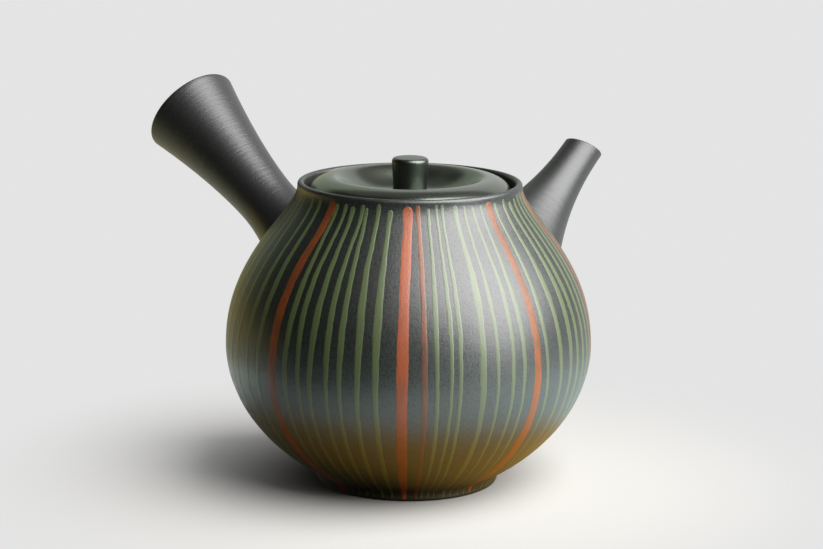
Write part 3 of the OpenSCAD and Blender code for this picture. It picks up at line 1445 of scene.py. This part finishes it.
    def ribbon(self, wall: WallLine, line: Line, number: int) -> Mesh:
        """Lays one stripe on the pot's wall.

        Args:
            wall: the outside of the pot, followed from the rim down.
            line: the stripe.
            number: its place in the list.

        Returns:
            The ribbon of slip.
        """
        rows = self.rows(wall, line)
        azimuth = math.radians(self.front + line.angle)
        deselect()
        bpy.ops.mesh.primitive_grid_add(
            x_subdivisions=self.columns, y_subdivisions=self.stations, size=MM, location=(0, 0, 0)
        )
        ribbon = bpy.context.active_object
        ribbon.name = f"{line.stroke.colour.value}_{number}"
        for vertex in ribbon.data.vertices:
            share = vertex.co.x / MM + 0.5
            left, right, radius, height, out, up = rows[round((0.5 - vertex.co.y / MM) * self.stations)]
            profile = max(1 - (2 * share - 1) ** self.crown, 0.0) ** 0.5
            raised = (self.lift + self.sink) * profile - self.sink
            turn = azimuth + (left + (right - left) * share) / radius
            reach = radius + raised * out
            vertex.co = MM * Vector((reach * math.cos(turn), reach * math.sin(turn), height + raised * up))
        return ribbon

    def build(self, pot: Pot, slips: dict[Colour, Material]) -> list[Mesh]:
        """Draws every stripe and joins those of one slip.

        Args:
            pot: the vessel.
            slips: the material of each slip.

        Returns:
            One piece for each slip.
        """
        drawn: dict[Colour, list[Mesh]] = {colour: [] for colour in Colour}
        wall = WallLine(list(reversed(pot.outside()[self.foot_skip :])))
        for number, line in enumerate(self.lines()):
            drawn[line.stroke.colour].append(self.ribbon(wall, line, number))
        pieces = []
        for colour, ribbons in drawn.items():
            deselect()
            for ribbon in ribbons:
                ribbon.select_set(True)
            bpy.context.view_layer.objects.active = ribbons[0]
            bpy.ops.object.join()
            piece = bpy.context.active_object
            piece.name = piece.data.name = f"stripes_{colour.value}"
            bpy.ops.object.mode_set(mode="EDIT")
            bpy.ops.mesh.select_all(action="SELECT")
            bpy.ops.mesh.normals_make_consistent(inside=False)
            bpy.ops.object.mode_set(mode="OBJECT")
            smooth(piece, self.crease)
            dress(piece, Body.POT, Slot.POT, [slips[colour]])
            pieces.append(piece)
        return pieces


# Stage


@dataclass
class Camera:
    """The camera at the photograph's angle. Lengths in millimetres, angles in degrees.

    Attributes:
        turn: how far its view is turned about the Z axis from looking along +Y.
        pitch: how far it looks down.
        roll: how far it leans about its own line of sight.
        distance: its distance from the place that it looks at.
        target_right: how far to the right of the pot's axis that place is.
        target_up: height of that place.
        focal_px: focal length in pixels of the photograph.
        width_px: width of the photograph in pixels.
        sensor: width of the sensor.
        clip: nearest and furthest distance that it sees, in metres.
    """

    turn: float = -46.6
    pitch: float = 11.92
    roll: float = 0.58
    distance: float = 695.7
    target_right: float = 0.65
    target_up: float = 55.98
    focal_px: float = 2600.0
    width_px: float = 823.0
    sensor: float = 36.0
    clip: Point = (0.05, 20.0)

    def seen(self, right: float, away: float, up: float) -> Vector:
        """A place given as the camera sees it, in the frame's axes and in metres."""
        return MM * (Matrix.Rotation(math.radians(self.turn), 3, "Z") @ Vector((right, away, up)))

    def build(self) -> None:
        """Adds the camera and makes it the scene's own."""
        data = bpy.data.cameras.new("camera")
        data.sensor_width = self.sensor
        data.lens = self.sensor * self.focal_px / self.width_px
        data.clip_start, data.clip_end = self.clip
        camera = bpy.data.objects.new("camera", data)
        bpy.context.scene.collection.objects.link(camera)
        pitch = math.radians(self.pitch)
        back = self.seen(0, -math.cos(pitch) * self.distance, math.sin(pitch) * self.distance)
        camera.location = self.seen(self.target_right, 0, self.target_up) + back
        camera.rotation_mode = "QUATERNION"
        roll = Quaternion(UP, math.radians(self.roll))
        camera.rotation_quaternion = (-back).to_track_quat("-Z", "Y") @ roll
        bpy.context.scene.camera = camera


@dataclass(frozen=True)
class SoftBox:
    """A soft light.

    Attributes:
        name: its name.
        turn: degrees to the right of the camera, seen from the pot.
        tilt: degrees above level.
        distance: metres from the pot's middle.
        size: its width and height in metres.
        power: its power in watts.
        roll: degrees that it is turned in its own plane.
    """

    name: str
    turn: float
    tilt: float
    distance: float
    size: Point
    power: float
    roll: float = 0.0

    def build(self, camera: Camera, target: Vector) -> None:
        """Adds the light.

        Args:
            camera: the camera that its place is given from.
            target: the place that it points at.
        """
        data = bpy.data.lights.new(self.name, "AREA")
        data.shape = "RECTANGLE"
        data.size, data.size_y = self.size
        data.energy = self.power
        lamp = bpy.data.objects.new(self.name, data)
        bpy.context.scene.collection.objects.link(lamp)
        away = self.distance * Axis(turn=camera.turn - 90 + self.turn, tilt=self.tilt).along
        lamp.location = target + away
        roll = Quaternion(UP, math.radians(self.roll))
        lamp.rotation_euler = ((-away).to_track_quat("-Z", "Y") @ roll).to_euler()


@dataclass(frozen=True)
class Zone:
    """A ring of the floor as the pot mirrors it.

    Attributes:
        colour: its colour.
        span: distances from its middle, in metres, over which it takes over from the zone inside it.
        aside: how far its middle lies to the right of the pot's axis, in metres.
    """

    colour: str
    span: Point = (0.0, 0.0)
    aside: float = 0.0


@dataclass
class Studio:
    """The pale floor and backdrop and the soft lights. Lengths in metres.

    Attributes:
        camera: the camera that the stage is turned to.
        floor_colour: colour of the floor near the pot, as the camera sees it.
        bounce_colour: colour of the light that the sheet throws back.
        backdrop_colour: even colour of the sheet away from the pot.
        fade: distances from the pot's axis over which the floor turns into the backdrop.
        contact: the zone of the mirrored floor that touches the foot, dark as painted contact shadow.
        zones: the zones round it, from the inside out; the outer dark one is painted shade.
        lit_span: distances to the right over which the mirrored floor comes out of the pot's shade.
        lit_shares: its brightness at the two ends of that, as shares of the zones' own.
        past_shade: distances to the back left over which it comes out of the shade on the other side.
        past_share: the share of brightness that it gains there.
        low_glow: colour of the backdrop as the pot mirrors it low on the left.
        left_glow: the same higher up.
        right_glow: the same on the right.
        low_span: heights over which the low colour becomes the higher one.
        glow_span: distances to the right over which one becomes the other.
        behind: distances behind the pot's axis over which the mirrored backdrop starts.
        reach: half the sheet's width.
        rise: its height.
        curve: radius of its bend.
        curve_steps: steps round that bend.
        crease: angle in degrees past which an edge stays sharp.
        air_colour: colour of the light from all round.
        world_strength: level of the light from all round.
        middle: height that the lights point at.
        lights: the soft boxes.
    """

    camera: Camera
    floor_colour: str = "#bfbdb8"
    bounce_colour: str = "#4a3c20"
    backdrop_colour: str = "#e4e4e4"
    fade: Point = (0.022, 0.13)
    contact: Zone = Zone("#150d03")
    zones: tuple[Zone, ...] = (
        Zone("#b08736", (0.023, 0.036), aside=-0.008),
        Zone("#bfcfcf", (0.054, 0.073), aside=-0.004),
        Zone("#1a1a19", (0.132, 0.25), aside=0.05),
    )
    lit_span: Point = (-0.1, 0.15)
    lit_shares: Point = (0.64, 1.95)
    past_shade: Point = (0.05, 0.12)
    past_share: float = 3.0
    low_glow: str = "#e2d078"
    left_glow: str = "#bac7b4"
    right_glow: str = "#f4f4f4"
    low_span: Point = (0.0, 0.35)
    glow_span: Point = (-0.4, 0.2)
    behind: Point = (-0.04, 0.2)
    reach: float = 2.2
    rise: float = 2.0
    curve: float = 0.5
    curve_steps: int = 24
    crease: float = 60.0
    air_colour: str = "#ffffff"
    world_strength: float = 0.02
    middle: float = 0.045
    lights: tuple[SoftBox, ...] = (
        SoftBox(
            "soft_box_right", turn=64.5, tilt=42.5, distance=0.9, size=(1.1, 1.26), power=31.4, roll=28.0
        ),
        SoftBox("soft_box_back", turn=173.4, tilt=53.8, distance=0.89, size=(0.9, 0.6), power=0.3),
    )

    @property
    def right(self) -> Vector:
        """The way to the camera's right, a metre long."""
        return self.camera.seen(METRE, 0, 0)

    @property
    def back(self) -> Vector:
        """The way from the camera to the pot along the floor, a metre long."""
        return self.camera.seen(0, METRE, 0)

    def ramp(self, tree: Tree, place: Socket, span: Point, axis: Vector | None = None) -> Socket:
        """A share that rises over a span of the sheet.

        Args:
            tree: the sheet's node tree.
            place: the place on the sheet.
            span: where the rise starts and ends.
            axis: the direction to measure along, or none to measure from the pot's axis.

        Returns:
            The share, from 0 to 1.
        """
        if axis is None:
            far = add_node(tree, "VectorMath", {"operation": "LENGTH"}, {0: place})
        else:
            far = add_node(tree, "VectorMath", {"operation": "DOT_PRODUCT"}, {0: place, 1: axis})
        rise = add_node(
            tree,
            "MapRange",
            {"interpolation_type": "SMOOTHSTEP"},
            {"Value": far.outputs["Value"], "From Min": span[0], "From Max": span[1]},
        )
        return rise.outputs[0]

    def mirrored_floor(self, tree: Tree, place: Socket) -> Socket:
        """The floor as the pot mirrors it: painted shade and warm below, a pale ring round that, then painted
        shade further off.

        Args:
            tree: the sheet's node tree.
            place: the place on the sheet.

        Returns:
            Its colour.
        """
        colour = linear(self.contact.colour)
        for zone in self.zones:
            middle = zone.aside * self.right
            ringed = add_node(tree, "VectorMath", {"operation": "SUBTRACT"}, {0: place, 1: middle})
            rise = self.ramp(tree, ringed.outputs[0], zone.span)
            tones = {0: rise, MIX_FROM: colour, MIX_TO: linear(zone.colour)}
            colour = add_node(tree, "Mix", MIX_COLOURS, tones).outputs[MIX_RESULT]
        # Painted light and shade across it: darker to the left in the pot's shade, brighter to the right, and
        # brighter again further back on the left
        lit = add_node(
            tree,
            "MapRange",
            inputs={
                "Value": self.ramp(tree, place, self.lit_span, self.right),
                "To Min": self.lit_shares[0],
                "To Max": self.lit_shares[1],
            },
        )
        past = self.ramp(tree, place, self.past_shade, (self.back - self.right).normalized())
        shares = {0: past, 1: self.past_share, 2: lit.outputs[0]}
        level = add_node(tree, "Math", {"operation": "MULTIPLY_ADD"}, shares)
        scaled = add_node(tree, "VectorMath", {"operation": "SCALE"}, {0: colour, "Scale": level.outputs[0]})
        return scaled.outputs[0]

    def mirrored_backdrop(self, tree: Tree, place: Socket) -> Socket:
        """The backdrop as the pot's glossy parts mirror it: warm low on the left and pale on the right.

        Args:
            tree: the sheet's node tree.
            place: the place on the sheet.

        Returns:
            Its colour.
        """
        aside = self.ramp(tree, place, self.glow_span, self.right)
        height = self.ramp(tree, place, self.low_span, UP)
        left_tones = {0: height, MIX_FROM: linear(self.low_glow), MIX_TO: linear(self.left_glow)}
        left = add_node(tree, "Mix", MIX_COLOURS, left_tones).outputs[MIX_RESULT]
        tones = {0: aside, MIX_FROM: left, MIX_TO: linear(self.right_glow)}
        return add_node(tree, "Mix", MIX_COLOURS, tones).outputs[MIX_RESULT]

    def paint(self) -> Material:
        """Mixes the sheet's paint.

        Returns:
            A matte paint near the pot that turns into an even pale tone further off.
        """
        material = new_material("painted_sweep")
        tree = material.node_tree
        path = add_node(tree, "LightPath")
        camera_ray, glossy_ray = path.outputs["Is Camera Ray"], path.outputs["Is Glossy Ray"]
        place = add_node(tree, "TexCoord").outputs["Object"]
        # The sheet looks pale, but throws little light back, so that the pot's shaded side stays dark
        tone = linear(self.bounce_colour)
        floors = ((camera_ray, linear(self.floor_colour)), (glossy_ray, self.mirrored_floor(tree, place)))
        for ray, floor in floors:
            tones = {0: ray, MIX_FROM: tone, MIX_TO: floor}
            tone = add_node(tree, "Mix", MIX_COLOURS, tones).outputs[MIX_RESULT]
        matte = add_node(tree, "BsdfDiffuse", inputs={"Color": tone})
        backdrops = {
            0: glossy_ray,
            MIX_FROM: linear(self.backdrop_colour),
            MIX_TO: self.mirrored_backdrop(tree, place),
        }
        backdrop = add_node(tree, "Mix", MIX_COLOURS, backdrops).outputs[MIX_RESULT]
        glow = add_node(tree, "Emission", inputs={"Color": backdrop})
        # The camera sees the even tone further off, and the pot mirrors a backdrop only from behind it
        shares = [
            add_node(tree, "Math", {"operation": "MULTIPLY"}, {0: ray, 1: fade}).outputs[0]
            for ray, fade in (
                (camera_ray, self.ramp(tree, place, self.fade)),
                (glossy_ray, self.ramp(tree, place, self.behind, self.back)),
            )
        ]
        share = add_node(tree, "Math", {"operation": "MAXIMUM"}, {0: shares[0], 1: shares[1]})
        shaders = {0: share.outputs[0], 1: matte.outputs[0], 2: glow.outputs[0]}
        both = add_node(tree, "MixShader", inputs=shaders)
        add_node(tree, "OutputMaterial", inputs={"Surface": both.outputs[0]})
        return material

    def sweep(self) -> None:
        """Builds the floor and backdrop as one curved sheet behind the pot."""
        deselect()
        bpy.ops.mesh.primitive_plane_add(size=1, location=(0, 0, 0))
        sheet = bpy.context.active_object
        sheet.name = "studio_sweep"
        bpy.ops.object.mode_set(mode="EDIT")
        bpy.ops.mesh.select_all(action="SELECT")
        bpy.ops.transform.resize(value=(2 * self.reach, 2 * self.reach, 1))
        select_edges(sheet, lambda end: end.y > 0)
        bpy.ops.mesh.extrude_region_move(TRANSFORM_OT_translate={"value": (0, 0, self.rise)})
        select_edges(sheet, lambda end: end.y > 0 and end.z < self.rise / 2)
        bpy.ops.mesh.bevel(offset=self.curve, segments=self.curve_steps, affect="EDGES")
        bpy.ops.object.mode_set(mode="OBJECT")
        smooth(sheet, self.crease)
        sheet.data.transform(Matrix.Rotation(math.radians(self.camera.turn), 4, "Z"))
        sheet.data.materials.append(self.paint())

    def air(self) -> bpy.types.World:
        """Makes the faint light from all round, which the camera sees as white.

        Returns:
            The world.
        """
        world = bpy.data.worlds.new("studio_air")
        world.use_nodes = True
        tree = world.node_tree
        tree.nodes.clear()
        camera_ray = add_node(tree, "LightPath").outputs["Is Camera Ray"]
        level = add_node(
            tree, "MapRange", inputs={"Value": camera_ray, "To Min": self.world_strength, "To Max": 1.0}
        )
        light = {"Color": linear(self.air_colour), "Strength": level.outputs[0]}
        air = add_node(tree, "Background", inputs=light)
        add_node(tree, "OutputWorld", inputs={"Surface": air.outputs[0]})
        return world

    def build(self) -> None:
        """Sets the stage, the lights and the view's colours."""
        self.sweep()
        for light in self.lights:
            light.build(self.camera, Vector((0, 0, self.middle)))
        bpy.context.scene.world = self.air()
        bpy.context.scene.view_settings.view_transform = "Standard"


def make_slips() -> dict[Colour, Material]:
    """Mixes the slips of the stripes.

    Returns:
        The material of each.
    """
    # Two of the reds are painted lighter towards the foot, as painted light low on the wall; the others are
    # painted darker there, as painted shade
    low = {"cover": 0.55, "painted_light_heights": (0.02, 0.06), "painted_light_rise": -0.5}
    slips = {
        # Green slip, fired matte: a dull, even olive
        Colour.GREEN: Slip("green_slip", "#4b5a31", "#47512b", sheen_level=1.0, cover=0.55),
        # Red slip, fired dry: rust red, and browner where it is thin
        Colour.RED: Slip("red_slip", "#8f420e", "#67310b", sheen_level=0.78, **low),
        # The same laid on thick: brighter, partly from the thicker slip and partly as painted light on the
        # front that faces the camera, and nearly even all the way down
        Colour.BOLD_RED: Slip("red_slip_thick_and_lit", "#a04d25", "#87411e", sheen_level=0.8, cover=0.5, painted_light_rise=0.2),
        # The same red made paler and duller, with less sheen, for the stripes on the pot's lit right side:
        # painted light
        Colour.LIT_SIDE_RED: Slip("red_slip_lit_side", "#8e4d1b", "#6d3c13", sheen_level=0.6, **low),
        # The same laid on thin: brownish, with more of the clay showing through
        Colour.BROWN: Slip("red_slip_thin", "#7c4422", "#55311c", sheen_level=0.8, cover=0.5),
    }
    return {colour: slip.make() for colour, slip in slips.items()}


def main() -> None:
    """Builds the pieces in order, then the stage."""
    camera = Camera()
    pot, handle, spout, lid = Pot(), Handle(), Spout(), Lid()
    # Rubbed before firing, so the wall has a low broad sheen broken by fine grain
    pot_clay = FiredClay(
        "smoke_fired_clay_rubbed", "#0a1109", "#0f160e", roughness=0.43, sheen_level=1.06, pitting=0.3,
        grain=0.45, grain_depth=0.045, ring=1.2, ring_depth=0.04,
    ).make()
    # Left as turned, so the limbs are more matte and keep faint turning lines
    handle_clay = FiredClay(
        "smoke_fired_clay_turned_handle", "#151715", "#1f211e", roughness=0.44, sheen_level=0.84, pitting=0.1,
        grain=0.35, grain_depth=0.016, ring=0.9, ring_depth=0.07, axis=handle.axis,
    ).make()
    spout_clay = FiredClay(
        "smoke_fired_clay_turned_spout", "#131414", "#1e1f1f", roughness=0.48, sheen_level=0.95, pitting=0.15,
        grain=0.4, grain_depth=0.025, ring=0.9, ring_depth=0.09, axis=spout.axis,
    ).make()
    # Sponged smooth, so the lid has the clearest sheen
    lid_clay = FiredClay(
        "smoke_fired_clay_sponged", "#151510", "#1e1d17", roughness=0.24, sheen_level=1.45, pitting=0.06,
        grain=0.4, grain_depth=0.006, ring=1.1, ring_depth=0.008, tint="#eafae7",
    ).make()
    # Darker than the lid's clay, as painted shade for the knob's dark left side
    knob_clay = FiredClay(
        "smoke_fired_clay_sponged_knob_painted_shade", "#060605", "#0b0b08", roughness=0.34, sheen_level=1.2, pitting=0.1,
        grain=0.4, grain_depth=0.01, ring=0.9, ring_depth=0.02, tint="#eafae7",
    ).make()
    # Never rubbed, so the inside is dull and dusty
    bare_clay = FiredClay(
        "smoke_fired_clay_bare", "#1d1c1b", "#35332f", roughness=0.7, sheen_level=0.4, pitting=0.3,
        grain=0.6, grain_depth=0.09, ring=1.6, ring_depth=0.08,
    ).make()
    pot.build(spout.axis, pot_clay, bare_clay)
    Stripes(front=camera.turn - 90).build(pot, make_slips())
    handle.build(pot, handle_clay)
    spout.build(pot, spout_clay)
    lid.build(pot, lid_clay, knob_clay)
    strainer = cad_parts["strainer"]
    strainer.data.materials.clear()
    strainer.data.materials.append(bare_clay)
    LOG.info("strainer: %d faces", len(strainer.data.polygons))
    camera.build()
    Studio(camera).build()


if __name__ == "__main__":
    logging.basicConfig(level=logging.INFO)
    main()
